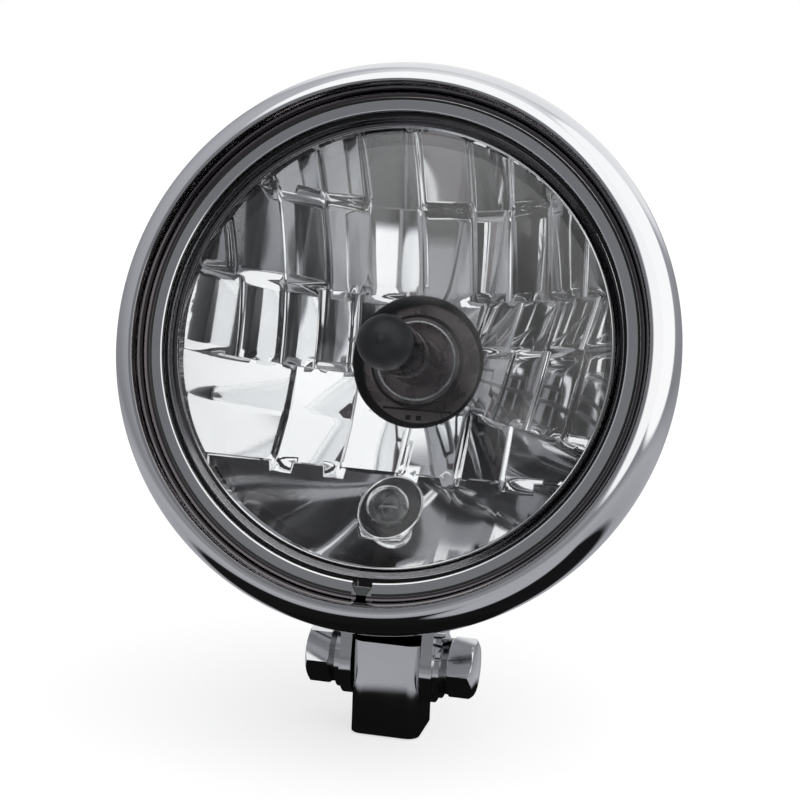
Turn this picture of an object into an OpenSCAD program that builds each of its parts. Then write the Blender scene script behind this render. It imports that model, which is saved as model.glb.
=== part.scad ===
// Round motorcycle headlight on a tilting bottom mount.
// The lamp is described in its own axes: its axis runs along Y, its front looks toward -Y and
// the frontmost edge of the trim ring lies at y = 0. The lamp is then hung on the two bolts.
// The origin is the mouth of the threaded hole in the underside of the mounting block.

/* [Tilt] */
// Upward tilt of the lamp about the bolts, in degrees
tilt = 16.2; // [-20:0.1:21]

/* [Mounting block] */
// Width of the block between the ears
block_w = 22.4; // [18:0.2:30]
// Depth of the block from front to back
block_d = 22.6; // [18:0.2:24]
// Height of the bolt axis above the underside
bolt_z = 22; // [18:0.5:40]
// Height of the block above the bolt axis
block_top = 8.8; // [7:0.1:9]
// Radius of the block's upright corners
block_corner_r = 4; // [1:0.5:6]
// Radius of the tapped hole in the underside
stud_hole_r = 4.25; // [3:0.05:6]
// Depth of the tapped hole
stud_hole_depth = 14; // [8:0.5:15]

/* [Bolts and washers] */
// Radius of the bolt shank
bolt_r = 5; // [4:0.1:5.5]
// Length of the bolt under its head
bolt_len = 18; // [14:0.5:18.5]
// Width of the hex head across its flats
head_af = 17; // [14:0.5:19]
// Height of the head at the top of its dome
head_h = 8.2; // [6:0.1:10]
// Radius of the dome on the head
head_dome_r = 16; // [12:0.5:30]
// Outer radius of the spring washer
spring_r = 9; // [7:0.1:10]
// Thickness of the spring washer
spring_t = 2.3; // [1.5:0.1:3]
// Width of the split in the spring washer
spring_split = 1.6; // [0.8:0.1:3]
// Outer radius of the flat washer
washer_r = 10.4; // [8:0.1:11.5]
// Thickness of the flat washer
washer_t = 2; // [1:0.1:2.5]

/* [Bracket] */
// Thickness of each ear
ear_t = 3.8; // [3:0.1:6]
// Radius of the round end of each ear
ear_r = 12; // [11:0.5:14]
// Width of each ear where it meets the saddle
ear_root_w = 27; // [24:0.5:32]
// Distance from the bolt axis to the underside of the saddle
saddle_gap = 12.7; // [11.9:0.1:14]
// Distance of the bolt axis behind the front of the ring
axis_back = 60; // [52:0.5:66]
// Distance of the bolt axis below the lamp axis
axis_drop = 96; // [95:0.5:100]

/* [Bucket] */
// Thickness of the bucket's sheet
bucket_t = 1.2; // [0.8:0.1:2]
// Place of the bucket's front edge
bucket_front = 16.5; // [15.5:0.5:18]
// Place where the bucket starts to curve in
bucket_shoulder = 28; // [26:1:36]
// Depth of the curved part of the bucket
bucket_round = 92; // [80:1:110]
// Fullness of the curved part, 2 being an ellipse
bucket_power = 2.4; // [2.2:0.1:3]

/* [Trim ring] */
// Largest radius of the ring
ring_r = 87; // [86.6:0.1:90]
// Radius of the crease at the front of the ring
ring_crease_r = 78.6; // [77.5:0.1:80]
// Depth from the crease to the widest part of the roll
ring_roll_depth = 12.8; // [11:0.2:13.5]
// Thickness of the ring's sheet
ring_t = 1.2; // [0.8:0.1:1.4]
// Radius where the cove meets the lip
lip_outer_r = 75.1; // [74.5:0.1:76]
// Depth of the lip's outer edge
lip_outer_y = 5.4; // [4:0.1:6]
// Radius of the lip's inner edge
lip_inner_r = 72.2; // [71:0.1:72.4]
// Depth of the lip's inner edge
lip_inner_y = 7.4; // [6:0.1:8]
// Outer radius of the skirt behind the roll
skirt_r = 85.4; // [85.2:0.1:86]
// Place of the skirt's rear edge
skirt_end = 27; // [25:0.5:30]

/* [Ring screw] */
// Radius of the ring screw
screw_r = 2; // [1.5:0.1:2.5]
// Length of the ring screw under its head
screw_len = 9; // [8:0.5:12]
// Radius of the screw's head
screw_head_r = 3.5; // [3:0.1:4.5]
// Height of the screw's head
screw_head_h = 1.4; // [1:0.1:1.6]
// Place of the screw along the lamp axis
screw_y = 22; // [21.5:0.1:22.4]
// Side of the square clip nut
nut_side = 9; // [7:0.5:10]
// Thickness of the clip nut
nut_t = 3.2; // [2.5:0.1:5]

/* [Lens] */
// Outer radius of the glass
glass_r = 73; // [72.8:0.1:73.4]
// Thickness of the glass
glass_t = 3; // [2.5:0.1:4]
// Radius where the flat rim becomes the dome
dome_r = 70; // [69:0.1:71]
// Rise of the dome above the rim
dome_rise = 19.4; // [17:0.1:24]
// Width of the locating tab at its root
tab_w = 5.8; // [4:0.1:7]
// Width of the locating tab at its tip
tab_tip_w = 2.8; // [2:0.1:3.6]
// Reach of the tab beyond the glass
tab_reach = 2.3; // [1.5:0.1:2.6]
// Thickness of the rubber between lip and glass
seal_t = 0.4; // [0.3:0.05:0.8]
// Wall of the rubber around the glass
seal_wall = 2.2; // [1.5:0.1:2.6]

/* [Reflector] */
// Focal length of the bowl
focal = 27; // [26:0.1:28.5]
// Place of the bowl's vertex
vertex_y = 56.5; // [56:0.1:58]
// Inner radius of the rim
rim_r = 67.4; // [66.5:0.1:67.8]
// Outer radius of the flange
flange_r = 72.8; // [72:0.1:72.9]
// Thickness of the flange
flange_t = 2.4; // [1.8:0.1:3]
// Thickness of the bowl behind the facets
bowl_t = 3.2; // [2.5:0.1:4]
// Swelling of the facets in front of the smooth bowl
facet_bulge = 0.7; // [0.2:0.05:0.9]
// Step between neighbouring facets
facet_step = 0.55; // [0.3:0.05:0.8]
// Half the width of the ridge between two deep facets
riser_w = 0.12; // [0.08:0.01:0.3]
// Radius of the hole for the main bulb
bulb_hole_r = 21.4; // [21.1:0.1:22]
// Radius of the collar on the back of the bowl
collar_r = 28.5; // [28:0.1:30]
// Depth of the seat ledge in the collar
ledge_t = 1.6; // [1:0.1:2.5]
// Radius of the opening in the seat ledge
ledge_r = 19.6; // [18:0.1:20]
// Height of the flat side of that opening below the axis
ledge_flat = 15; // [14.8:0.1:17]
// Distance of the side light below the axis
side_drop = 47.9; // [46:0.1:50]
// Radius of the hole for the side light
side_hole_r = 9.6; // [8:0.1:11]
// Wall of the tube behind that hole
side_tube_t = 2.2; // [1.5:0.1:3]
// Place of the tube's rear end
side_tube_end = 49; // [48.5:0.5:51]

/* [Main bulb] */
// Place of the reference plane of the main bulb
bulb_seat_y = 58; // [57.6:0.1:60]
// Outer radius of the bulb's glass
bulb_glass_r = 8.1; // [7.5:0.1:8.4]
// Wall of the bulb's glass
bulb_glass_t = 1; // [0.7:0.1:1.4]
// Distance from the reference plane to the centre of the cap
cap_reach = 53.5; // [50:0.5:54]
// Thickness of the black cap
cap_t = 0.25; // [0.2:0.05:0.4]
// Thickness of the bulb's flange
bulb_flange_t = 1.2; // [0.8:0.1:1.6]
// Radius of the bulb's flange
bulb_flange_r = 20.9; // [20.2:0.1:21.2]
// Reach of the three lugs beyond the flange
lug_reach = 1.9; // [1:0.1:2.4]
// Outer radius of the cup in front of the flange
cup_r = 14.2; // [12:0.1:14.5]
// Length of the cup in front of the flange
cup_len = 9; // [6:0.5:12]
// Radius of the bulb's base behind the flange
base_r = 15.5; // [14:0.1:16]
// Length of the bulb's base behind the flange
base_len = 12.8; // [11:0.1:15]
// Width of the contact blades
blade_w = 7.8; // [6:0.1:8]
// Thickness of the contact blades
blade_t = 0.8; // [0.6:0.1:1]
// Length of the contact blades
blade_len = 14; // [10:0.5:16]
// Distance of each blade from the bulb's axis
blade_off = 8.4; // [7:0.1:9]
// Radius of the wire that holds the bulb
bail_r = 0.8; // [0.6:0.05:0.9]

/* [Boot and plug] */
// Wall of the rubber boot
boot_t = 1.6; // [1:0.1:2]
// Place of the boot's front end
boot_front = 54; // [53.5:0.5:56]
// Width of the plug
plug_w = 32; // [28:0.5:36]
// Height of the plug
plug_h = 28; // [26:0.5:30]
// Length of the plug
plug_len = 20; // [18:0.5:22]

/* [Side light] */
// Radius of the side bulb
side_bulb_r = 5; // [4.5:0.1:6]
// Place of the side bulb's tip
side_bulb_tip = 24; // [22:0.5:28]
// Wall of the side bulb
side_bulb_t = 0.7; // [0.5:0.1:1]
// Radius of the holder's flange
holder_flange_r = 13; // [12:0.1:14]
// Length of the holder behind its flange
holder_len = 12; // [8:0.5:16]

/* [Clips and grommet] */
// Width of each spring clip
clip_w = 10; // [6:0.5:14]
// Thickness of each spring clip
clip_t = 0.8; // [0.6:0.1:1]
// Place of the cable hole along the lamp axis
grommet_y = 104; // [98:1:110]
// Radius of the cable hole in the bucket
grommet_hole_r = 6.8; // [5:0.1:8]
// Radius of the cable bore in the grommet
cable_r = 3.5; // [2.5:0.1:4.5]

/* [Fits] */
// Clearance of each bolt in the block and the ears
bolt_fit = 0.06; // [0.03:0.01:0.09]
// Play between faces that slide on each other
face_play = 0.05; // [0.03:0.01:0.08]
// Clearance between pieces that are seated on each other
seat_gap = 0.15; // [0.1:0.05:0.3]
// Clearance between the skirt and the bucket
skirt_gap = 0.3; // [0.2:0.05:0.5]

/* [Hidden] */
$fn = 96;
profile_steps = 20;

// Places that follow from the sizes above
bucket_r = skirt_r - ring_t - skirt_gap;
ear_in = block_w / 2 + face_play;
ear_out = ear_in + ear_t;
washer_in = ear_out + face_play;
spring_in = washer_in + washer_t;
head_in = spring_in + spring_t;
lip_slope = (lip_inner_y - lip_outer_y) / (lip_outer_r - lip_inner_r);
glass_front = lip_inner_y + ring_t + seal_t;
glass_back = glass_front + glass_t;
dome_ball_r = (dome_r * dome_r + dome_rise * dome_rise) / (2 * dome_rise);
dome_centre = glass_front - dome_rise + dome_ball_r;
inner_ball_r = (rim_r * rim_r + dome_rise * dome_rise) / (2 * dome_rise);
inner_centre = glass_back - dome_rise + inner_ball_r;
rim_y = glass_back + face_play;
flange_back = rim_y + flange_t;
cap_y = bulb_seat_y - cap_reach;
base_end = bulb_seat_y + face_play + bulb_flange_t + base_len;
blade_end = base_end + blade_len;
plug_front = base_end + 2;
bail_y = bulb_seat_y + face_play + bulb_flange_t + bail_r + face_play;
nut_top = sqrt(pow(bucket_r - bucket_t, 2) - nut_side * nut_side / 4) - face_play;

// Points of an arc from angle a0 to a1
function arc(cx, cy, rx, ry, a0, a1, n) =
    [for (i = [0:n]) let (a = a0 + (a1 - a0) * i / n) [cx + rx * cos(a), cy + ry * sin(a)]];
// Outer radius of the bucket at a place along its axis
function bucket_at(y) = let (s = (y - bucket_shoulder) / bucket_round)
    bucket_r * pow(1 - pow(s, bucket_power), 1 / bucket_power);
// Outline of the bucket's curved part, drawn inward by a distance
function bucket_curve(inset) = [for (i = [0:profile_steps])
    let (a = 90 * i / profile_steps, e = 2 / bucket_power)
    [(bucket_r - inset) * pow(cos(a), e),
     bucket_shoulder + (bucket_round - inset) * pow(sin(a), e)]];
// Direction of a path at one of its points
function unit(v) = v / norm(v);
function heading(p, i, closed = false) = let (n = len(p),
    ahead = i < n - 1 || closed ? unit(p[(i + 1) % n] - p[i]) : 0 * p[i],
    behind = i > 0 || closed ? unit(p[i] - p[(i + n - 1) % n]) : 0 * p[i])
    unit(ahead + behind);
// Both sides of a bent strip that follows a flat path
function strip_side(p, i) = let (d = heading(p, i)) [-d[1], d[0]];
function strip(p, t) = concat([for (i = [0:len(p) - 1]) p[i] + strip_side(p, i) * t / 2],
    [for (i = [len(p) - 1:-1:0]) p[i] - strip_side(p, i) * t / 2]);

// Hangs a piece of the lamp on the bolt axis
module lamp() {
    translate([0, 0, bolt_z])
    rotate([-tilt, 0, 0])
    translate([0, -axis_back, axis_drop])
    children();
}

// Turns a profile of [radius, place along the axis] about the lamp axis
module lathe(points, around = 180) {
    rotate([-90, 0, 0]) rotate_extrude($fn = around) polygon(points);
}

// A disc or rod along the lamp axis between two places
module rod(r, y0, y1, facets = 96) {
    translate([0, y0, 0]) rotate([-90, 0, 0]) cylinder(r = r, h = y1 - y0, $fn = facets);
}

// A rod between two points
module wire(a, b, r) {
    v = b - a;
    translate(a)
    rotate([0, acos(v[2] / norm(v)), atan2(v[1], v[0])])
    cylinder(r = r, h = norm(v), $fn = 24);
}

// A bent wire that follows a path in space, with one radius for each point
module bent_wire(path, radii, up = [0.3, 0.1, 1], closed = false) {
    sides = 10;
    n = len(path);
    rings = [for (i = [0:n - 1], k = [0:sides - 1])
        let (d = heading(path, i, closed), a = unit(cross(up, d)), b = cross(d, a), w = 360 * k / sides)
        path[i] + radii[i] * (a * cos(w) + b * sin(w))];
    last = closed ? n - 1 : n - 2;
    function at(i, k) = (i % n) * sides + k % sides;
    polyhedron(points = rings, convexity = 6, faces = concat(
        [for (i = [0:last], k = [0:sides - 1]) [at(i, k), at(i + 1, k), at(i + 1, k + 1)]],
        [for (i = [0:last], k = [0:sides - 1]) [at(i, k), at(i + 1, k + 1), at(i, k + 1)]],
        closed ? [] : [[for (k = [0:sides - 1]) k], [for (k = [sides - 1:-1:0]) at(n - 1, k)]]));
}

module bucket_outside(grow = 0) {
    lathe(concat([[0, bucket_front], [bucket_r + grow, bucket_front]], bucket_curve(-grow)));
}

module bucket() {
    color("silver") lamp() difference() {
        lathe(concat([[bucket_r - bucket_t, bucket_front], [bucket_r, bucket_front]],
            bucket_curve(0), [for (i = [profile_steps:-1:0]) bucket_curve(bucket_t)[i]]));
        ring_screw_hole();
        at_grommet() cylinder(r = grommet_hole_r, h = 20, center = true);
    }
}

// Outer skin of the ring from the skirt over the roll to the crease, drawn inward by a distance
roll_r = ring_crease_r + 0.5;
function ring_skin(inset) = concat(
    [[skirt_r - inset, skirt_end], [skirt_r - inset, ring_roll_depth + 6]],
    [for (i = [1:5]) let (s = i / 6)
        [skirt_r + (ring_r - skirt_r) * (1 - cos(180 * s)) / 2 - inset,
         ring_roll_depth + 6 * (1 - s)]],
    arc(roll_r, ring_roll_depth, ring_r - roll_r - inset, ring_roll_depth - inset, 0, -90, 14));

module trim_ring() {
    lip_back = ring_t;
    color("silver") lamp() difference() {
        lathe(concat(ring_skin(0),
            [[ring_crease_r, 0.15], [ring_crease_r - 1.4, 1.7], [lip_outer_r + 0.4, lip_outer_y - 0.5],
             [lip_outer_r, lip_outer_y], [lip_inner_r, lip_inner_y],
             [lip_inner_r, lip_inner_y + lip_back], [lip_outer_r, lip_outer_y + lip_back],
             [ring_crease_r, 2.9]],
            [for (i = [len(ring_skin(ring_t)) - 1:-1:0]) ring_skin(ring_t)[i]]));
        notch(tab_w / 2 + seat_gap, lip_inner_r - 3, glass_r + 1.4);
        notch(tab_tip_w / 2 + seat_gap, glass_r, ring_crease_r - 1.2);
        ring_screw_hole();
    }
}

// Radial slot at 6 o'clock through the lip and the cove
module notch(half_w, r0, r1) {
    translate([-half_w, lip_outer_y - 2.6, -r1]) cube([2 * half_w, 12, r1 - r0]);
}

module lens_glass() {
    color("lightcyan", 0.4) lamp() {
        lathe(concat([[glass_r, glass_back], [glass_r, glass_front]],
            [for (i = [0:profile_steps]) let (r = dome_r * (1 - i / profile_steps))
                [r, dome_centre - sqrt(dome_ball_r * dome_ball_r - r * r)]],
            [for (i = [profile_steps:-1:0]) let (r = rim_r * (1 - i / profile_steps))
                [r, inner_centre - sqrt(inner_ball_r * inner_ball_r - r * r)]]));
        glass_tab();
    }
}

// Locating tab that stands through the lip of the ring
module glass_tab() {
    translate([0, glass_back, 0])
    rotate([90, 0, 0])
    linear_extrude(glass_t + 1.6)
    polygon([[-tab_w / 2, -glass_r + 1.2], [-tab_w / 2, -glass_r], [-tab_tip_w / 2, -glass_r - tab_reach],
        [tab_tip_w / 2, -glass_r - tab_reach], [tab_w / 2, -glass_r], [tab_w / 2, -glass_r + 1.2]]);
}

module lens_seal() {
    r_in = glass_r + seat_gap;
    r_out = r_in + seal_wall;
    lip_face = lip_inner_y + ring_t + face_play;
    color([0.08, 0.08, 0.08]) lamp() difference() {
        lathe([[lip_inner_r - 0.2, glass_front - face_play], [lip_inner_r - 0.2, lip_face],
            [lip_inner_r, lip_face], [lip_outer_r, lip_face - (lip_outer_r - lip_inner_r) * lip_slope],
            [r_out, lip_face - (lip_outer_r - lip_inner_r) * lip_slope + 0.6],
            [r_out, flange_back - face_play], [r_in, flange_back - face_play], [r_in, glass_front - face_play]]);
        translate([-tab_w / 2 - seat_gap, glass_front - 6, -r_out - 1])
        cube([tab_w + 2 * seat_gap, 6 + glass_t + seat_gap, 8]);
    }
}

// Smooth bowl that the facets follow
function bowl_y(x, z) = vertex_y - (x * x + z * z) / (4 * focal);

// Borders of the bands of facets, seen from the front
edge = 69;
function across(x, left, right) = left + (right - left) * min(1, max(0, (x + 17) / 34));
function border_z(b, x) = b == 0 ? -edge : b == 1 ? -36.8 :
    b == 2 ? (x < 0 ? -10.5 + 0.6 * x * min(1, 17 / max(17, -x)) : -10.5 - 0.243 * x) :
    b == 3 ? across(x, -5.4, 4.9) : b == 4 ? 20.3 : b == 5 ? 46.4 : edge;
// Facet borders across each band, at its lower and at its upper border
cols_top = [-edge, -55.8, -42.8, -29.8, -17, 0, 17, 29.8, 42.8, 55.8, edge];
cols_low = [-edge, -50, -38.1, -28, -19.4, 0, 18.6, 34.8, 46, 58, edge];
foot = [cols_low, cols_low, [-edge, -50, -38.1, -28, -19.4, 0, 14.6, 27.3, 39.8, 52.6, edge],
    [-edge, -53.9, -42.8, -33, -22.5, 0, 17.3, 29.7, 43.1, 55.7, edge], cols_top, cols_top];
head = [cols_low, cols_low, [-edge, -50, -38.1, -28, -19.4, 0, 19.4, 32.1, 44.6, 57.4, edge],
    [-edge, -53.9, -42.8, -33, -22.5, 0, 21.9, 34.3, 47.7, 60.3, edge], cols_top, cols_top];
// Facet that each column of a band belongs to, and which facets lie deeper
facet_of = [[for (i = [0:9]) 0], [0, 0, 1, 1, 2, 3, 4, 5, 5, 5], [0, 0, 1, 1, 2, 3, 4, 5, 6, 7],
    [for (i = [0:9]) i], [for (i = [0:9]) i], [for (i = [0:9]) i]];
phase = [[0, 0], [1, 1], [1, 0], [0, 1], [1, 1], [0, 0]];

function first_col(b, c) = c == 0 || facet_of[b][c - 1] != facet_of[b][c] ? c : first_col(b, c - 1);
function last_col(b, c) = c == 9 || facet_of[b][c + 1] != facet_of[b][c] ? c : last_col(b, c + 1);

// Outline of one facet seen from the front, drawn in by the width of the step beside it
function facet_corner(b, k, top, dx) = let (x = (top ? head : foot)[b][k])
    [x + dx * riser_w, border_z(top ? b + 1 : b, x) + (top ? -riser_w : riser_w)];
module facet_outline(b, c) {
    j = last_col(b, c) + 1;
    polygon([facet_corner(b, c, false, 1), facet_corner(b, j, false, -1), facet_corner(b, j, true, -1),
        facet_corner(b, c, true, 1)]);
}

// Space in front of the bowl, shifted forward by a distance
module bowl_space(lift) {
    lathe(concat([[0, rim_y - 3], [rim_r, rim_y - 3]],
        [for (i = [0:12]) let (r = rim_r * (1 - i / 12)) [r, bowl_y(r, 0) - lift]]), 90);
}

// Space in front of the facets: every second facet lies deeper than its neighbours
module facet_space() {
    bowl_space(facet_bulge / 2 + facet_step);
    intersection() {
        bowl_space(facet_bulge / 2);
        translate([0, 80, 0]) rotate([90, 0, 0]) linear_extrude(80) for (b = [1:5], c = [0:9])
            if (first_col(b, c) == c && (facet_of[b][c] + phase[b][c < 5 ? 0 : 1]) % 2 == 0) facet_outline(b, c);
    }
    intersection() {
        bowl_space(0);
        translate([-edge, 0, -edge]) cube([2 * edge, 80, edge + border_z(1, 0)]);
    }
}

module reflector() {
    back = vertex_y + bowl_t;
    tube_r = side_hole_r + side_tube_t;
    hook_x = collar_r - 3.4;
    color("gainsboro") lamp() difference() {
        union() {
            lathe(concat([[0, rim_y], [flange_r, rim_y], [flange_r, flange_back], [69.2, flange_back]],
                [for (i = [0:profile_steps]) let (r = 69 - (69 - collar_r) * i / profile_steps)
                    [r, back - r * r / (4 * focal)]],
                [[collar_r, bulb_seat_y], [0, bulb_seat_y]]), 90);
            translate([0, 0, -side_drop]) rod(tube_r, 30, side_tube_end);
            translate([-hook_x - 3, bulb_seat_y - 0.5, -5]) cube([5.2, 4.2, 10]);
            translate([hook_x - 1.8, bulb_seat_y - 0.5, -3]) cube([5, 4.8, 6]);
        }
        facet_space();
        rod(bulb_hole_r, 0, bulb_seat_y - ledge_t);
        intersection() {
            rod(ledge_r, 0, bulb_seat_y + 1);
            translate([-30, 0, -ledge_flat]) cube([60, 80, 60]);
        }
        translate([-3, 40, ledge_r - 3]) cube([6, 30, 4.6]);
        for (x = [-5, -1.3]) translate([x - 1.2, 50, -20.6]) cube([2.4, 20, 2.4]);
        translate([0, 0, -side_drop]) rod(side_hole_r, 10, side_tube_end + 1);
        wire([-hook_x, bail_y, -6], [-hook_x, bail_y, 6], bail_r + face_play);
        translate([hook_x - 2, bulb_seat_y, -4]) cube([2 + bail_r + seat_gap, bail_r * 2 + bulb_flange_t + 0.3, 8]);
    }
}

// Spring clip that holds the lens and reflector in the ring
module clip_at(angle) {
    seat = flange_back + face_play + clip_t / 2;
    tip_r = ring_r - ring_t - clip_t / 2 - 0.25;
    color("gray") lamp() rotate([0, angle, 0])
    translate([clip_w / 2, 0, 0])
    rotate([0, -90, 0])
    linear_extrude(clip_w)
    polygon(strip([[69.9, seat], [74.4, seat], [76.4, seat + 1.6], [79, seat + 1.6],
        [tip_r - 2.6, ring_roll_depth + 2.4], [tip_r - 0.3, ring_roll_depth - 1.2],
        [tip_r - 0.8, ring_roll_depth - 3]], clip_t));
}

module bulb_glass() {
    r = bulb_glass_r;
    t = bulb_glass_t;
    color("lightcyan", 0.4) lamp()
    lathe(concat(arc(0, cap_y, r, r, -90, 0, 10), [[r, bulb_seat_y - 4], [r - t, bulb_seat_y - 4]],
        arc(0, cap_y, r - t, r - t, 0, -90, 10)));
}

module bulb_cap() {
    r0 = bulb_glass_r + 0.02;
    r1 = r0 + cap_t;
    color([0.1, 0.1, 0.11]) lamp() {
        lathe(concat(arc(0, cap_y, r1, r1, -90, 0, 12), [[r1, cap_y + 2.2], [r0, cap_y + 2.2]],
            arc(0, cap_y, r0, r0, 0, -90, 12)));
        rod(1.3, cap_y - r1 - 0.9, cap_y - r0 - 0.05, 32);
    }
}

module bulb_base() {
    y0 = bulb_seat_y + face_play;
    y1 = y0 + bulb_flange_t;
    r_glass = bulb_glass_r + seat_gap;
    color([0.45, 0.42, 0.42]) lamp() {
        difference() {
            lathe([[r_glass, y0 - 5], [cup_r - 1, y0 - 5], [cup_r - 1, y0 - cup_len],
                [cup_r, y0 - cup_len], [cup_r, y0], [bulb_flange_r, y0], [bulb_flange_r, y1],
                [base_r, y1], [base_r, base_end], [0, base_end], [0, y0 - 2], [r_glass, y0 - 2]]);
            for (b = blades()) blade_slot(b, 0.05);
        }
        for (a = [90, 210, 330]) rotate([0, -a, 0]) translate([bulb_flange_r - 1, y0, -3.5])
            cube([1 + lug_reach, bulb_flange_t, 7]);
    }
}

// Place and quarter turn of the three contact blades
function blades() = [[0, blade_off, 0], [-blade_off, 0, 90], [blade_off, 0, 90]];
module blade_slot(b, grow) {
    translate([b[0], 0, b[1]]) rotate([0, b[2], 0])
    translate([-blade_w / 2 - grow, base_end - 5, -blade_t / 2 - grow])
    cube([blade_w + 2 * grow, blade_len + 5 + grow, blade_t + 2 * grow]);
}

module bulb_contacts() {
    color("silver") lamp() for (b = blades()) blade_slot(b, 0);
}

// Two filaments, each one wire from post to coil to post
low_y = bulb_seat_y - 29.5;
high_y = bulb_seat_y - 23.5;
post_y = bulb_seat_y - 2.5;
module bulb_filaments() {
    color("gray") lamp() {
        bent_wire([[0, post_y, 4.6], [0, low_y + 4.6, 4.2], [0, low_y + 3.1, 1.4], [0, low_y + 2.8, 1],
            [0, low_y - 2.8, 1], [0, low_y - 3.1, 1], [2.6, low_y - 4.4, 1.2], [4.6, low_y - 2, 1],
            [4.8, post_y, 0]], [0.4, 0.4, 0.4, 0.8, 0.8, 0.4, 0.4, 0.4, 0.4], [1, 0.1, 0.3]);
        bent_wire([[0, post_y, -5], [0, high_y + 4.6, -4.6], [0, high_y + 3.1, -2.4], [0, high_y + 2.8, -2],
            [0, high_y - 2.8, -2], [0, high_y - 3.1, -2], [-2.8, high_y - 3.6, -1.6], [-4.8, high_y, -1],
            [-5, post_y, 0]], [0.4, 0.4, 0.4, 0.8, 0.8, 0.4, 0.4, 0.4, 0.4], [1, 0.1, 0.3]);
    }
}

// Dished shield under the front filament
module bulb_shield() {
    color("silver") lamp() difference() {
        rod(3.1, low_y - 4, low_y + 1.6, 48);
        rod(2.8, low_y - 3.7, low_y + 2, 48);
        translate([-5, low_y - 6, -0.3]) cube([10, 14, 6]);
        wire([0, high_y - 4, -2], [0, high_y + 4, -2], 0.95);
    }
}

// Wire that presses the bulb's flange on its seat
module bulb_bail() {
    x = collar_r - 3.4;
    z = bulb_flange_r - 3.1;
    half = [[-x, 5.6], [-x + 4, 12], [-12, z], [12, z], [x - 4, 12], [x, 4.6]];
    path = concat(half, [for (i = [5:-1:0]) [half[i][0], -half[i][1]]]);
    color("silver") lamp()
    bent_wire([for (p = path) [p[0], bail_y, p[1]]], [for (p = path) bail_r], [0, 1, 0], true);
}

module rubber_boot() {
    r = collar_r + seat_gap;
    t = boot_t;
    neck = base_r + seat_gap;
    bend = bail_y + 4.4;
    color([0.08, 0.08, 0.08]) lamp()
    lathe([[r, boot_front], [r + t, boot_front], [r + t, bend + 1], [neck + 6, base_end - 2.6],
        [neck + t, base_end - 1.6], [neck + t, base_end + 0.4], [neck, base_end + 0.4],
        [neck, base_end - 3], [neck + 5, base_end - 4], [r, bend]]);
}

module plug() {
    color([0.12, 0.12, 0.13]) lamp() difference() {
        union() {
            translate([-plug_w / 2, plug_front, -plug_h / 2 + 1]) cube([plug_w, plug_len, plug_h]);
            translate([-plug_w / 2 + 6, plug_front + 4, plug_h / 2 + 1]) cube([plug_w - 12, plug_len - 4, 1.6]);
        }
        for (b = blades()) blade_slot(b, 0.2);
        for (b = blades()) translate([b[0], 0, b[1]]) rod(1.6, blade_end, plug_front + plug_len + 1, 32);
    }
}

module at_side() {
    translate([0, 0, -side_drop]) children();
}

module side_bulb() {
    r = side_bulb_r;
    t = side_bulb_t;
    y = side_bulb_tip + r;
    color("lightcyan", 0.4) lamp() at_side() {
        lathe(concat(arc(0, y, r, r, -90, 0, 8), [[r, y + 9], [r - 1.2, y + 11], [0, y + 11],
            [0, y + 9], [r - t - 1, y + 9], [r - t, y + 8]], arc(0, y, r - t, r - t, 0, -90, 8)));
        translate([-r + 1, y + 10.5, -1.2]) cube([2 * r - 2, 5, 2.4]);
    }
}

module side_filament() {
    y = side_bulb_tip + side_bulb_r;
    color("gray") lamp() at_side()
    bent_wire([[-1.6, y + 8.7, 0], [-2.4, y + 1.4, 0], [-1.6, y + 0.6, 0], [1.6, y + 0.6, 0], [2.4, y + 1.4, 0],
        [1.6, y + 8.7, 0]], [0.25, 0.25, 0.5, 0.5, 0.25, 0.25], [0, 0.1, 1]);
}

module side_holder() {
    y = side_bulb_tip + side_bulb_r;
    r = side_hole_r - seat_gap;
    end = side_tube_end + face_play;
    color([0.85, 0.85, 0.82]) lamp() at_side() difference() {
        lathe([[0, y + 13], [side_bulb_r, y + 13], [side_bulb_r + 0.2, y + 10], [r - 1.2, y + 10], [r, y + 12],
            [r, end], [holder_flange_r, end], [holder_flange_r, end + 2], [r, end + 2],
            [r - 1.6, end + 2 + holder_len], [0, end + 2 + holder_len]]);
        translate([-side_bulb_r + 0.8, y + 9, -1.4]) cube([2 * side_bulb_r - 1.6, 7, 2.8]);
        for (s = [-1, 1]) translate([s * 4 - 0.5, end + holder_len - 4, -3]) cube([1, 8, 6]);
    }
}

// Axis of the ring screw, square to the skirt at 6 o'clock
module at_screw() {
    translate([0, screw_y, -skirt_r]) children();
}

module ring_screw_hole() {
    at_screw() translate([0, 0, -2]) cylinder(r = screw_r + seat_gap, h = 9, $fn = 48);
}

module ring_screw() {
    color("silver") lamp() at_screw() difference() {
        union() {
            translate([0, 0, -screw_head_h - face_play]) cylinder(r = screw_head_r, h = screw_head_h, $fn = 64);
            translate([0, 0, -face_play - 0.01]) cylinder(r = screw_r, h = screw_len, $fn = 48);
        }
        for (a = [0, 90]) rotate([0, 0, a])
            translate([-2, -0.4, -screw_head_h - 1]) cube([4, 0.8, 1.8]);
    }
}

module ring_nut() {
    color("gray") lamp() difference() {
        translate([-nut_side / 2, screw_y - nut_side / 2, -nut_top]) cube([nut_side, nut_side, nut_t]);
        at_screw() cylinder(r = screw_r + face_play, h = 14, $fn = 48);
    }
}

// Frame of the cable hole, square to the bucket's surface
grommet_r = bucket_at(grommet_y);
grommet_slope = (bucket_at(grommet_y + 0.5) - bucket_at(grommet_y - 0.5));
module at_grommet() {
    translate([0, grommet_y, -grommet_r])
    rotate([180 + atan2(-grommet_slope, 1), 0, 0])
    children();
}

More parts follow.
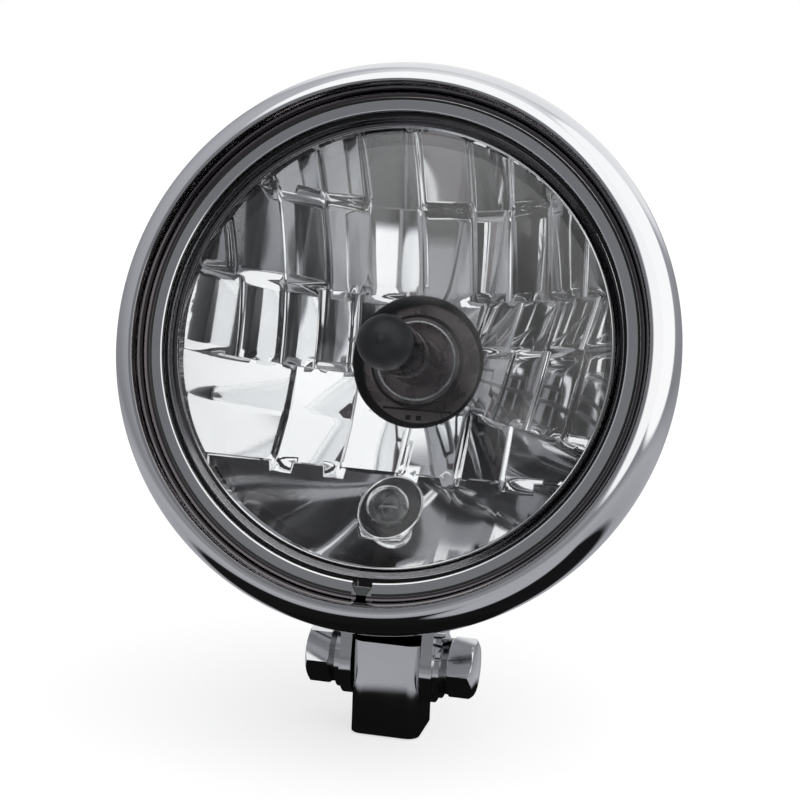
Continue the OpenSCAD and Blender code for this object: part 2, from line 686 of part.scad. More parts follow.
module cable_grommet() {
    groove = bucket_t + seat_gap;
    r = grommet_hole_r;
    color([0.08, 0.08, 0.08]) lamp() at_grommet()
    rotate_extrude($fn = 72) polygon([[cable_r, -groove - 3], [r + 2.4, -groove - 3], [r + 2.4, -groove - 0.95],
        [r - seat_gap, -groove - 0.95], [r - seat_gap, -0.1], [r + 2.4, -0.1], [r + 2.4, 2], [r - 0.6, 4],
        [cable_r + 1.6, 9], [cable_r, 9]]);
}

module bracket() {
    saddle_z = -axis_drop + saddle_gap;
    color("silver") lamp() difference() {
        union() {
            for (s = [-1, 1]) ear_plate(s);
            translate([-ear_out, axis_back - ear_root_w / 2, saddle_z])
            cube([2 * ear_out, ear_root_w, 8]);
        }
        bucket_outside(face_play);
        translate([-ear_out - 1, axis_back, -axis_drop]) rotate([0, 90, 0])
        cylinder(r = bolt_r + bolt_fit, h = 2 * ear_out + 2);
    }
}

// One ear, with its round end about the bolt axis
module ear_plate(side) {
    translate([side * (ear_in + ear_t / 2), axis_back, -axis_drop])
    rotate([90, 0, 90])
    linear_extrude(ear_t, center = true) {
        circle(r = ear_r);
        polygon([[-ear_r, 0], [ear_r, 0], [ear_root_w / 2, saddle_gap + 2], [ear_root_w / 2, saddle_gap + 8],
            [-ear_root_w / 2, saddle_gap + 8], [-ear_root_w / 2, saddle_gap + 2]]);
    }
}

module mount_block() {
    inner_w = block_w - 2 * block_corner_r;
    inner_d = block_d - 2 * block_corner_r;
    color("silver") difference() {
        linear_extrude(bolt_z + block_top) {
            square([block_w, inner_d], center = true);
            square([inner_w, block_d], center = true);
            for (x = [-1, 1], y = [-1, 1]) translate([x * inner_w / 2, y * inner_d / 2])
                circle(r = block_corner_r, $fn = 64);
        }
        translate([-block_w, 0, bolt_z]) rotate([0, 90, 0]) cylinder(r = bolt_r + bolt_fit, h = 2 * block_w);
        translate([0, 0, -1]) cylinder(r = stud_hole_r, h = stud_hole_depth + 1);
    }
}

// Puts a fastener on the bolt axis, its Z pointing away from the block
module on_bolt(side, place) {
    translate([side * place, 0, bolt_z]) rotate([0, side * 90, 0]) children();
}

module bolt_at(side) {
    color("gainsboro") on_bolt(side, head_in) {
        intersection() {
            rotate([0, 0, 30]) cylinder(d = head_af / cos(30), h = head_h, $fn = 6);
            translate([0, 0, head_h - head_dome_r]) sphere(r = head_dome_r, $fn = 96);
        }
        translate([0, 0, -bolt_len]) cylinder(r = bolt_r, h = bolt_len + 0.5);
    }
}

module spring_washer_at(side) {
    color("silver") on_bolt(side, spring_in) difference() {
        cylinder(r = spring_r, h = spring_t);
        translate([0, 0, -1]) cylinder(r = bolt_r + seat_gap, h = spring_t + 2);
        rotate([0, 0, 200]) translate([bolt_r - 1, 0, spring_t / 2]) rotate([30, 0, 0])
            cube([2 * spring_r, spring_split, 4 * spring_t], center = true);
    }
}

module flat_washer_at(side) {
    color("silver") on_bolt(side, washer_in) difference() {
        cylinder(r = washer_r, h = washer_t);
        translate([0, 0, -1]) cylinder(r = bolt_r + seat_gap, h = washer_t + 2);
    }
}

bucket();
trim_ring();
lens_glass();
lens_seal();
reflector();
clip_at(45);  // clip_1
clip_at(135);  // clip_2
clip_at(225);  // clip_3
clip_at(315);  // clip_4
bulb_glass();
bulb_cap();
bulb_base();
bulb_filaments();
bulb_shield();
bulb_contacts();
bulb_bail();
rubber_boot();
plug();
side_bulb();
side_filament();
side_holder();
ring_screw();
ring_nut();
cable_grommet();
bracket();
mount_block();
bolt_at(-1);  // bolt_left
bolt_at(1);  // bolt_right
spring_washer_at(-1);  // spring_washer_left
spring_washer_at(1);  // spring_washer_right
flat_washer_at(-1);  // flat_washer_left
flat_washer_at(1);  // flat_washer_right
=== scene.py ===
import math

import bmesh
import bpy
import numpy as np
from mathutils import Matrix, Vector


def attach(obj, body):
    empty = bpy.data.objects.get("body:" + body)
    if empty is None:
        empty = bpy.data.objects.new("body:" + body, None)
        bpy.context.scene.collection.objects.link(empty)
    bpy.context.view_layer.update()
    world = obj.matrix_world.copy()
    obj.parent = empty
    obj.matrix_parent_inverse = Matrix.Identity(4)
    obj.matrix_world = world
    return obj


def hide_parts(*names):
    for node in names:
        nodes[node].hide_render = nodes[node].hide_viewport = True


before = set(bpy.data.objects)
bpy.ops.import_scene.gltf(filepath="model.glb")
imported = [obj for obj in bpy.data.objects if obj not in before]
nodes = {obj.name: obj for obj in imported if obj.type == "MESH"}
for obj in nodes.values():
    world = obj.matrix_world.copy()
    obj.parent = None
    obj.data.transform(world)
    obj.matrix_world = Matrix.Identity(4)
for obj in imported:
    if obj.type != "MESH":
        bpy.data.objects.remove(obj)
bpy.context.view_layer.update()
MM = 0.001

# Sizes shared with the part's source, in millimetres and degrees
tilt = 16.2
bolt_z = 22.0
axis_back, axis_drop = 60.0, 96.0
block_w, ear_t = 22.4, 3.8
head_af, head_h = 17.0, 8.2
spring_t, washer_t = 2.3, 2.0
face_play, seat_gap, skirt_gap = 0.05, 0.15, 0.3
ring_r, ring_crease_r, ring_roll_depth, ring_t = 87.0, 78.6, 12.8, 1.2
lip_inner_r, lip_inner_y = 72.2, 7.4
skirt_r, skirt_end = 85.4, 27.0
screw_r, screw_y = 2.0, 22.0
bucket_r, bucket_t, bucket_front = skirt_r - ring_t - skirt_gap, 1.2, 16.5
bucket_shoulder, bucket_round, bucket_power = 28.0, 92.0, 2.4
grommet_y, grommet_hole_r = 104.0, 6.8
glass_r, glass_t, dome_r, dome_rise = 73.0, 3.0, 70.0, 19.4
tab_w, tab_tip_w, tab_reach, seal_t = 5.8, 2.8, 2.3, 0.4
focal, vertex_y, rim_r, flange_r, flange_t, bowl_t = 27.0, 56.5, 67.4, 72.8, 2.4, 3.2
facet_bulge, facet_step = 0.7, 0.55
bulb_hole_r, collar_r, ledge_t, ledge_r = 21.4, 28.5, 1.6, 19.6
side_drop, side_hole_r, side_tube_t, side_tube_end = 47.9, 9.6, 2.2, 49.0
bulb_seat_y, bulb_glass_r, bulb_glass_t, cap_reach, cap_t = 58.0, 8.1, 1.0, 53.5, 0.25
cup_len = 9.0
side_bulb_r, side_bulb_tip, side_bulb_t = 5.0, 24.0, 0.7

washer_in = block_w / 2 + ear_t + 2 * face_play
head_in = washer_in + washer_t + spring_t
glass_front = lip_inner_y + ring_t + seal_t
glass_back = glass_front + glass_t
dome_ball_r = (dome_r ** 2 + dome_rise ** 2) / (2 * dome_rise)
dome_centre = glass_front - dome_rise + dome_ball_r
inner_ball_r = (rim_r ** 2 + dome_rise ** 2) / (2 * dome_rise)
inner_centre = glass_back - dome_rise + inner_ball_r
rim_y = glass_back + face_play
flange_back = rim_y + flange_t
cap_y = bulb_seat_y - cap_reach
cup_front = bulb_seat_y - cup_len
screw_hole = screw_r + seat_gap

# From lamp millimetres, with y along the lamp's axis and z up, to world millimetres
LAMP = (Matrix.Translation((0, 0, bolt_z)) @ Matrix.Rotation(math.radians(-tilt), 4, "X")
        @ Matrix.Translation((0, -axis_back, axis_drop)))

# Sockets of a mix node by its kind: first value, second value, result
MIX_SOCKETS = {"FLOAT": (2, 3, 0), "RGBA": (6, 7, 2)}


# Node helpers for materials and for the studio
def new_material(name):
    m = bpy.data.materials.new(name)
    m.use_nodes = True
    return m, m.node_tree, m.node_tree.nodes["Principled BSDF"]


def link(tree, a, b):
    tree.links.new(a, b)


def add(tree, kind, **values):
    n = tree.nodes.new(kind)
    for k, v in values.items():
        setattr(n, k, v)
    return n


# Gives a socket either a plain value or the output of another node
def feed(tree, source, socket):
    if isinstance(source, bpy.types.NodeSocket):
        link(tree, source, socket)
    else:
        socket.default_value = source


def noise(tree, scale, detail):
    coord = add(tree, "ShaderNodeTexCoord")
    n = add(tree, "ShaderNodeTexNoise")
    n.inputs["Scale"].default_value = scale
    n.inputs["Detail"].default_value = detail
    link(tree, coord.outputs["Object"], n.inputs["Vector"])
    return n.outputs["Fac"]


def spread(tree, source, low, high, out_low, out_high):
    r = add(tree, "ShaderNodeMapRange")
    r.inputs["From Min"].default_value = low
    r.inputs["From Max"].default_value = high
    r.inputs["To Min"].default_value = out_low
    r.inputs["To Max"].default_value = out_high
    link(tree, source, r.inputs["Value"])
    return r.outputs["Result"]


def blend(tree, kind, base, other, mask):
    n = add(tree, "ShaderNodeMix", data_type=kind)
    first, second, result = MIX_SOCKETS[kind]
    feed(tree, base, n.inputs[first])
    feed(tree, other, n.inputs[second])
    link(tree, mask, n.inputs["Factor"])
    return n.outputs[result]


def scalar_math(tree, operation, a, b):
    n = add(tree, "ShaderNodeMath", operation=operation)
    feed(tree, a, n.inputs[0])
    feed(tree, b, n.inputs[1])
    return n.outputs["Value"]


def vector_math(tree, operation, source, other=None):
    n = add(tree, "ShaderNodeVectorMath", operation=operation)
    link(tree, source, n.inputs[0])
    if other is not None:
        n.inputs[1].default_value = other
    return n.outputs["Value" if operation in ("LENGTH", "DOT_PRODUCT") else "Vector"]


def add_bump(tree, bsdf, scale, detail, strength, depth_mm):
    n = add(tree, "ShaderNodeBump")
    n.inputs["Strength"].default_value = strength
    n.inputs["Distance"].default_value = depth_mm * MM
    link(tree, noise(tree, scale, detail), n.inputs["Height"])
    link(tree, n.outputs["Normal"], bsdf.inputs["Normal"])


# One between two distances from the lamp's axis, and nothing elsewhere; it places the bands of painted shade
def radius_band(tree, low, high, soft=0.12):
    coord = add(tree, "ShaderNodeTexCoord")
    offset = vector_math(tree, "SUBTRACT", coord.outputs["Object"], LAMP.translation * MM)
    cross = vector_math(tree, "CROSS_PRODUCT", offset, LAMP.to_3x3() @ Vector((0, 1, 0)))
    length = vector_math(tree, "LENGTH", cross)
    rise = spread(tree, length, (low - soft) * MM, (low + soft) * MM, 0, 1)
    fall = spread(tree, length, (high - soft) * MM, (high + soft) * MM, 1, 0)
    return scalar_math(tree, "MULTIPLY", rise, fall)


def surface(name, color, tint, rough, rough_scale, bump, bump_scale, bump_mm, metallic=0.0, tint_scale=40.0,
            specular=0.5, bands=()):
    m, tree, bsdf = new_material(name)
    bsdf.inputs["Metallic"].default_value = metallic
    bsdf.inputs["Specular IOR Level"].default_value = specular
    link(tree, spread(tree, noise(tree, rough_scale, 4.0), 0.3, 0.7, *rough), bsdf.inputs["Roughness"])
    patches = spread(tree, noise(tree, tint_scale, 3.0), 0.35, 0.65, 0, 1)
    last = blend(tree, "RGBA", (*color, 1), (*tint, 1), patches)
    # Bands of painted shade darken the colour round the lamp's axis
    for low, high, band_color in bands:
        last = blend(tree, "RGBA", last, (*band_color, 1), radius_band(tree, low, high))
    link(tree, last, bsdf.inputs["Base Color"])
    add_bump(tree, bsdf, bump_scale, 3.0, bump, bump_mm)
    return m


def metal(name, color, tint, **values):
    return surface(name, color, tint, metallic=1.0, **values)


def clear_glass(name, color, rough_top, ior, bump_mm):
    m, tree, bsdf = new_material(name)
    bsdf.inputs["Base Color"].default_value = (*color, 1)
    bsdf.inputs["Transmission Weight"].default_value = 1.0
    bsdf.inputs["IOR"].default_value = ior
    link(tree, spread(tree, noise(tree, 30.0, 2.0), 0.35, 0.65, 0.0, rough_top), bsdf.inputs["Roughness"])
    add_bump(tree, bsdf, 18.0, 1.0, 0.15, bump_mm)
    return m


# Painted shade: darker bands round the lamp's axis stand in for the shadow and the dark surroundings mirrored
# in the ring's cove, round the bulb hole, at the reflector's mouth and on its flange: inner radius, outer
# radius and colour
cove_painted_shade = (75.35, 78.62, (0.13, 0.118, 0.124))
collar_painted_shade = (18.0, 21.75, (0.015, 0.015, 0.016))
mouth_painted_shade = (66.5, 69.45, (0.15, 0.145, 0.155))
flange_painted_shade = (70.0, 75.0, (0.10, 0.10, 0.105))

# The ring's chrome has a band of painted shade in its cove
chrome_trim = metal("ring_chrome", (0.83, 0.83, 0.84), (0.79, 0.80, 0.82), tint_scale=12.0,
                    rough=(0.015, 0.05), rough_scale=25.0, bump=0.05, bump_scale=60.0, bump_mm=0.002,
                    bands=[cove_painted_shade])
chrome_shell = metal("shell_chrome", (0.82, 0.82, 0.83), (0.78, 0.79, 0.81), tint_scale=10.0,
                     rough=(0.02, 0.06), rough_scale=20.0, bump=0.15, bump_scale=45.0, bump_mm=0.006)
chrome_block = metal("block_chrome", (0.78, 0.78, 0.79), (0.72, 0.73, 0.74), tint_scale=30.0,
                     rough=(0.05, 0.12), rough_scale=60.0, bump=0.2, bump_scale=130.0, bump_mm=0.008)
chrome_bolt = metal("bolt_chrome", (0.80, 0.80, 0.81), (0.74, 0.75, 0.76), tint_scale=80.0,
                    rough=(0.04, 0.10), rough_scale=120.0, bump=0.2, bump_scale=260.0, bump_mm=0.006)
washer_steel = metal("washer_plating", (0.40, 0.40, 0.41), (0.30, 0.30, 0.31), tint_scale=120.0,
                     rough=(0.12, 0.25), rough_scale=160.0, bump=0.3, bump_scale=500.0, bump_mm=0.01)
# The reflector's coat has bands of painted shade round the bulb hole, at the mouth and on the flange
mirror_coat = metal("metallised_coat", (0.89, 0.89, 0.895), (0.86, 0.86, 0.87), tint_scale=25.0,
                    rough=(0.02, 0.055), rough_scale=40.0, bump=0.06, bump_scale=90.0, bump_mm=0.003,
                    bands=[collar_painted_shade, mouth_painted_shade, flange_painted_shade])
bulb_metal = metal("tinted_bulb_metal", (0.34, 0.285, 0.295), (0.44, 0.385, 0.39), tint_scale=70.0,
                   rough=(0.22, 0.36), rough_scale=130.0, bump=0.2, bump_scale=400.0, bump_mm=0.01)
tungsten = metal("filament_wire", (0.42, 0.42, 0.43), (0.34, 0.34, 0.35),
                 rough=(0.3, 0.45), rough_scale=300.0, bump=0.3, bump_scale=1500.0, bump_mm=0.02)
tinned = metal("tinned_blade", (0.72, 0.70, 0.64), (0.62, 0.60, 0.55),
               rough=(0.18, 0.3), rough_scale=150.0, bump=0.2, bump_scale=600.0, bump_mm=0.01)
spring_steel = metal("spring_wire", (0.55, 0.56, 0.57), (0.46, 0.47, 0.49),
                     rough=(0.2, 0.32), rough_scale=150.0, bump=0.2, bump_scale=700.0, bump_mm=0.01)
zinc = metal("zinc_plate", (0.66, 0.67, 0.66), (0.60, 0.62, 0.58),
             rough=(0.22, 0.35), rough_scale=150.0, bump=0.25, bump_scale=500.0, bump_mm=0.01)
black_cap = surface("black_cap_paint", (0.030, 0.031, 0.037), (0.038, 0.038, 0.043), tint_scale=150.0,
                    rough=(0.36, 0.46), rough_scale=120.0, bump=0.2, bump_scale=400.0, bump_mm=0.01)
rubber = surface("black_rubber", (0.018, 0.018, 0.018), (0.026, 0.025, 0.024), specular=0.35,
                 rough=(0.55, 0.7), rough_scale=90.0, bump=0.4, bump_scale=900.0, bump_mm=0.03)
plug_plastic = surface("plug_plastic", (0.020, 0.020, 0.022), (0.028, 0.028, 0.030),
                       rough=(0.38, 0.52), rough_scale=90.0, bump=0.35, bump_scale=1200.0, bump_mm=0.02)
holder_plastic = surface("holder_plastic", (0.075, 0.075, 0.08), (0.10, 0.098, 0.10),
                         rough=(0.3, 0.42), rough_scale=90.0, bump=0.3, bump_scale=900.0, bump_mm=0.02)
ground_glass = surface("ground_glass", (0.055, 0.063, 0.061), (0.09, 0.10, 0.097), tint_scale=300.0,
                       rough=(0.3, 0.45), rough_scale=200.0, bump=0.3, bump_scale=900.0, bump_mm=0.02)
lens_clear = clear_glass("lens_glass_clear", (0.975, 0.985, 0.985), rough_top=0.012, ior=1.5, bump_mm=0.004)
bulb_clear = clear_glass("bulb_glass_clear", (0.97, 0.975, 0.98), rough_top=0.02, ior=1.46, bump_mm=0.01)


# Mesh helpers: all points are given in lamp millimetres unless place says otherwise
def build_mesh(name, verts, faces, place=LAMP):
    me = bpy.data.meshes.new(name)
    me.from_pydata([place @ Vector(v) * MM for v in verts], [], faces)
    ob = bpy.data.objects.new(name, me)
    bpy.context.scene.collection.objects.link(ob)
    bm = bmesh.new()
    bm.from_mesh(me)
    bmesh.ops.remove_doubles(bm, verts=bm.verts, dist=1e-6)
    bmesh.ops.recalc_face_normals(bm, faces=bm.faces)
    bm.to_mesh(me)
    bm.free()
    return ob


# A profile of radius and y, turned round the y axis
def lathe_mesh(profile, segments, closed=True):
    n = len(profile)
    verts, faces = [], []
    for k in range(segments):
        a = math.radians(360.0 * k / segments)
        verts += [(r * math.sin(a), y, -r * math.cos(a)) for r, y in profile]
        k2 = (k + 1) % segments
        for i in range(n if closed else n - 1):
            j = (i + 1) % n
            if profile[i][0] > 1e-6 or profile[j][0] > 1e-6:
                faces.append((k * n + i, k * n + j, k2 * n + j, k2 * n + i))
    return verts, faces


# An outline of x and z, drawn out from y0 to y1
def prism_mesh(outline, y0, y1):
    n = len(outline)
    verts = [(x, y, z) for y in (y0, y1) for x, z in outline]
    faces = [tuple(range(n)), tuple(range(n, 2 * n))]
    return verts, faces + [(i, (i + 1) % n, n + (i + 1) % n, n + i) for i in range(n)]


def turned(name, profile, segments, z=0.0, closed=True):
    verts, faces = lathe_mesh(profile, segments, closed)
    return build_mesh(name, [(vx, vy, vz + z) for vx, vy, vz in verts], faces)


def rod_cutter(r, y0, y1, z=0.0, segments=128):
    return turned("cutter", [(0, y0), (r, y0), (r, y1), (0, y1)], segments, z, closed=False)


def box(name, low, high):
    (x0, y0, z0), (x1, y1, z1) = low, high
    verts = [(x, y, z) for z in (z0, z1) for x, y in ((x0, y0), (x1, y0), (x1, y1), (x0, y1))]
    faces = [(0, 1, 2, 3), (4, 5, 6, 7), (0, 1, 5, 4), (1, 2, 6, 5), (2, 3, 7, 6), (3, 0, 4, 7)]
    return build_mesh(name, verts, faces)


def screw_cutter(z_low, z_high):
    return box("cutter", (-screw_hole, screw_y - screw_hole, z_low),
               (screw_hole, screw_y + screw_hole, z_high))


def carve(ob, cutters, operation="DIFFERENCE"):
    for c in cutters:
        mod = ob.modifiers.new("carve", "BOOLEAN")
        mod.operation = operation
        mod.solver = "EXACT"
        mod.object = c
        bpy.context.view_layer.update()
        deps = bpy.context.evaluated_depsgraph_get()
        new = bpy.data.meshes.new_from_object(ob.evaluated_get(deps))
        ob.modifiers.clear()
        old = ob.data
        ob.data = new
        new.name = old.name
        bpy.data.objects.remove(c)


def paint(ob, material):
    ob.data.materials.clear()
    ob.data.materials.append(material)


def finish_piece(ob, body, material, replaces=None, angle=30.0):
    paint(ob, material)
    ob.data.polygons.foreach_set("use_smooth", [True] * len(ob.data.polygons))
    ob.data.set_sharp_from_angle(angle=math.radians(angle))
    ob.data.update()
    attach(ob, body)
    if replaces:
        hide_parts(replaces)


def arc(cx, cy, rx, ry, a0, a1, n):
    angles = [math.radians(a0 + (a1 - a0) * i / n) for i in range(n + 1)]
    return [(cx + rx * math.cos(a), cy + ry * math.sin(a)) for a in angles]


def shifted(base_r, base_y, steps):
    return [(base_r + r, base_y + y) for r, y in steps]


# A right half from the bottom up, with its mirror picture before it
def mirrored(right):
    return [(-x, z) for x, z in right[::-1]] + right


def rounded(points, radius, steps, keep):
    out = []
    n = len(points)
    for i in range(n):
        p, a, b = (np.array(points[k % n], float) for k in (i, i - 1, i + 1))
        u, v = a - p, b - p
        lu, lv = np.linalg.norm(u), np.linalg.norm(v)
        cut = min(radius, lu * 0.45, lv * 0.45)
        if i in keep or cut < 1e-6:
            out.append(tuple(p))
            continue
        p0, p1 = p + u / lu * cut, p + v / lv * cut
        for s in range(steps + 1):
            t = s / steps
            out.append(tuple((1 - t) ** 2 * p0 + 2 * t * (1 - t) * p + t * t * p1))
    return out


# Trim ring: skirt, roll, crease, cove and lip as one turned profile
lip_in, lip_y = lip_inner_r - 0.9, 7.05
roll_r = ring_crease_r + 0.5
flare_len, flare_steps = 6.0, 12
cove_r, cove_y, cove_wide, cove_deep = ring_crease_r - 2.6, 5.3, 1.15, 1.75
notch_front, notch_back = 3.2, 9.4
crease_steps = [(0.05, 0.03), (-0.12, 0.2), (-0.5, 0.9), (-0.95, 2.2), (-1.35, 3.4)]
lip_steps = [(4.25, 0.07), (3.95, 0.03), (3.6, 0.0), (1.7, 0.01), (0.66, 0.02), (0.34, 0.04), (0.1, 0.21),
             (0.0, 0.55)]
hidden_steps = [(-3.0, 8.3), (-1.0, 7.5), (0.1, 5.6), (0.4, 2.9)]


def ring_skin(inset, n):
    flare = [(skirt_r + (ring_r - skirt_r) * (1 - math.cos(math.pi * i / flare_steps)) / 2 - inset,
              ring_roll_depth + flare_len * (1 - i / flare_steps)) for i in range(flare_steps)]
    roll = arc(roll_r, ring_roll_depth, ring_r - roll_r - inset, ring_roll_depth - inset, 0, -90, n)
    return [(skirt_r - inset, skirt_end)] + flare + roll


ring_profile = (ring_skin(0, 48) + shifted(ring_crease_r, 0, crease_steps)
                + arc(cove_r, cove_y, cove_wide, cove_deep, 0, 80, 8) + shifted(lip_in, lip_y, lip_steps)
                + [(lip_in, lip_inner_y + ring_t)] + shifted(ring_crease_r, 0, hidden_steps)
                + ring_skin(ring_t, 24)[::-1])
ring = turned("chrome_ring", ring_profile, 360)
tip_z = -glass_r - tab_reach
notch_half, notch_tip_half = tab_w / 2 + seat_gap, tab_tip_w / 2 + seat_gap
notch = mirrored([(notch_tip_half, -ring_crease_r + 0.9), (notch_tip_half, tip_z + 0.4),
                  (notch_half, -glass_r + 0.2), (notch_half, -lip_in + 1)])
carve(ring, [build_mesh("cutter", *prism_mesh(notch, notch_front, notch_back)), screw_cutter(-90, -82)])
finish_piece(ring, "lamp", chrome_trim, "trim_ring", 38)


# Lens: a domed glass with a flat rim, and a tab that sits in the ring's notch
def dome_line(centre, ball_r, edge_r, n=48):
    radii = [edge_r * (1 - i / n) for i in range(n + 1)]
    return [(r, centre - math.sqrt(ball_r ** 2 - r ** 2)) for r in radii]


edge_cut = 0.3
lens_rim = [(glass_r - edge_cut, glass_back), (glass_r, glass_back - edge_cut),
            (glass_r, glass_front + edge_cut), (glass_r - edge_cut, glass_front)]
lens = turned("domed_lens", lens_rim + dome_line(dome_centre, dome_ball_r, dome_r)
              + dome_line(inner_centre, inner_ball_r, rim_r)[::-1], 240)
finish_piece(lens, "lamp", lens_clear, "lens_glass", 30)
tab_outline = rounded(mirrored([(tab_tip_w / 2, tip_z), (tab_w / 2, -glass_r), (tab_w / 2, -glass_r + 0.05)]),
                      0.5, 3, keep=(0, 5))
tab = build_mesh("lens_tab", *prism_mesh(tab_outline, glass_front - 2.2, glass_back))
finish_piece(tab, "lamp", ground_glass, None, 40)

# Reflector: six bands of ten columns, each facet crowned and every second one deeper
facet_div, facet_gap, crown_z = 9, 0.22, 0.35
edge, mouth_r, bowl_edge_r = 69, 65.9, 69.0
border_low, border_mid, border_high, border_top = -36.8, -10.5, 20.3, 46.4
border_left, border_right, bend_x, left_slope, right_slope = -5.4, 4.9, 17.0, 0.6, 0.243
top_cols = [-edge, -55.8, -42.8, -29.8, -17, 0, 17, 29.8, 42.8, 55.8, edge]
low_cols = [-edge, -50, -38.1, -28, -19.4, 0, 18.6, 34.8, 46, 58, edge]
foot = [low_cols, low_cols, [-edge, -50, -38.1, -28, -19.4, 0, 14.6, 27.3, 39.8, 52.6, edge],
        [-edge, -53.9, -42.8, -33, -22.5, 0, 17.3, 29.7, 43.1, 55.7, edge], top_cols, top_cols]
head = [low_cols, low_cols, [-edge, -50, -38.1, -28, -19.4, 0, 19.4, 32.1, 44.6, 57.4, edge],
        [-edge, -53.9, -42.8, -33, -22.5, 0, 21.9, 34.3, 47.7, 60.3, edge], top_cols, top_cols]
facet_of = [[0] * 10, [0, 0, 1, 1, 2, 3, 4, 5, 5, 5], [0, 0, 1, 1, 2, 3, 4, 5, 6, 7]] + [list(range(10))] * 3
phase_left = [0, 1, 1, 0, 1, 0]
phase_right = [0, 1, 0, 1, 1, 0]


def bowl_y(x, z):
    return vertex_y - (x * x + z * z) / (4 * focal)


def clamp(t):
    return min(1.0, max(0.0, t))


def between(a, b, t):
    return a + (b - a) * t


def crown(height, t):
    return height * (1 - (2 * clamp(t) - 1) ** 2)


# Height of the border under band b, as seen from the front
def border_z(b, x):
    if b == 2 and x < 0:
        return border_mid + left_slope * x * min(1.0, bend_x / max(bend_x, -x))
    if b == 2:
        return border_mid - right_slope * x
    if b == 3:
        return between(border_left, border_right, clamp((x + bend_x) / (2 * bend_x)))
    return {0: -edge, 1: border_low, 4: border_high, 5: border_top, 6: edge}[b]


def facet_depth(b, c, x, z):
    if b == 0:
        return bowl_y(x, z)
    group = [i for i in range(10) if facet_of[b][i] == facet_of[b][c]]
    first, last = group[0], group[-1] + 1
    z0, z1 = border_z(b, x), border_z(b + 1, x)
    t = (z - z0) / max(1e-6, z1 - z0)
    left = between(foot[b][first], head[b][first], t)
    right = between(foot[b][last], head[b][last], t)
    phase = phase_left[b] if c < 5 else phase_right[b]
    step = facet_step * ((facet_of[b][c] + phase) % 2)
    return bowl_y(x, z) - step - crown(facet_bulge, (x - left) / (right - left)) - crown(crown_z, t)


# The space in front of the facets, closed by a flat front
def facet_block():
    front = rim_y - 3
    cols = [(c, i / facet_div) for c in range(10) for i in range(facet_div + 1)]
    rows = [(b, i / facet_div) for b in range(6) for i in range(facet_div + 1)]
    verts = []
    for b, tv in rows:
        for c, tu in cols:
            x = between(between(foot[b][c], foot[b][c + 1], tu), between(head[b][c], head[b][c + 1], tu), tv)
            if tu == 0 and c > 0:
                x += facet_gap
            if tu == 1 and c < 9:
                x -= facet_gap
            z0, z1 = border_z(b, x), border_z(b + 1, x)
            z0 += facet_gap if b > 0 else 0
            z1 -= facet_gap if b < 5 else 0
            z = between(z0, z1, tv)
            verts.append((x, max(facet_depth(b, c, x, z), front + 1), z))
    nc, nr = len(cols), len(rows)
    faces = [(r * nc + c, r * nc + c + 1, (r + 1) * nc + c + 1, (r + 1) * nc + c)
             for r in range(nr - 1) for c in range(nc - 1)]
    loop = (list(range(nc)) + [r * nc + nc - 1 for r in range(1, nr)]
            + [(nr - 1) * nc + c for c in range(nc - 2, -1, -1)] + [r * nc for r in range(nr - 2, 0, -1)])
    base, m = len(verts), len(loop)
    verts += [(verts[i][0], front, verts[i][2]) for i in loop]
    faces += [(loop[i], loop[(i + 1) % m], base + (i + 1) % m, base + i) for i in range(m)]
    faces.append(tuple(base + i for i in range(m)))
    return build_mesh("cutter", verts, faces)


groove_in_r, groove_out_r = 66.2, 69.7
groove_steps = [(-0.22, 0.0), (-0.12, 0.13), (0.0, 0.18), (0.12, 0.13), (0.22, 0.0)]
ledge_start, tube_start, side_start = 40, 30, 10
back = vertex_y + bowl_t
bowl_profile = ([(0, rim_y)] + shifted(groove_in_r, rim_y, groove_steps)
                + shifted(groove_out_r, rim_y, groove_steps)
                + [(flange_r, rim_y), (flange_r, flange_back), (bowl_edge_r + 0.2, flange_back)]
                + [(r, back - r * r / (4 * focal)) for r in np.linspace(bowl_edge_r, collar_r, 30)]
                + [(collar_r, bulb_seat_y), (0, bulb_seat_y)])
bowl = turned("reflector_bowl", bowl_profile, 180, closed=False)
space = facet_block()
carve(space, [rod_cutter(mouth_r, rim_y - 6, bulb_seat_y + 2, segments=180)], "INTERSECT")
carve(bowl, [rod_cutter(side_hole_r + side_tube_t, tube_start, side_tube_end, z=-side_drop)], "UNION")
carve(bowl, [space, rod_cutter(bulb_hole_r, 0, bulb_seat_y - ledge_t),
             rod_cutter(ledge_r, ledge_start, bulb_seat_y + 1, segments=96),
             rod_cutter(side_hole_r, side_start, side_tube_end + 1, z=-side_drop, segments=96)])
finish_piece(bowl, "lamp", mirror_coat, "reflector", 56)

# The edge of the reflector's mouth stays sharp all the way round
to_lamp = LAMP.inverted()
in_lamp = [to_lamp @ (q.co / MM) for q in bowl.data.vertices]
for e in bowl.data.edges:
    if all(math.hypot(in_lamp[i].x, in_lamp[i].z) > mouth_r - 0.04 for i in e.vertices):
        e.use_edge_sharp = True


# Bulbs: the main bulb's glass and black cap, and the side bulb's glass
def lathe_piece(name, profile, segments, material, replaces=None, angle=30.0, z=0.0):
    finish_piece(turned(name, profile, segments, z), "lamp", material, replaces, angle)


def ball(y, r, a0, a1, n):
    return arc(0, y, r, r, a0, a1, n)


inner_r, envelope_end = bulb_glass_r - bulb_glass_t, bulb_seat_y - 4
lathe_piece("bulb_envelope", ball(cap_y, bulb_glass_r, -90, 0, 24) + [(bulb_glass_r, envelope_end)]
            + [(inner_r, envelope_end)] + ball(cap_y, inner_r, 0, -90, 24), 96, bulb_clear,
            "bulb_glass")

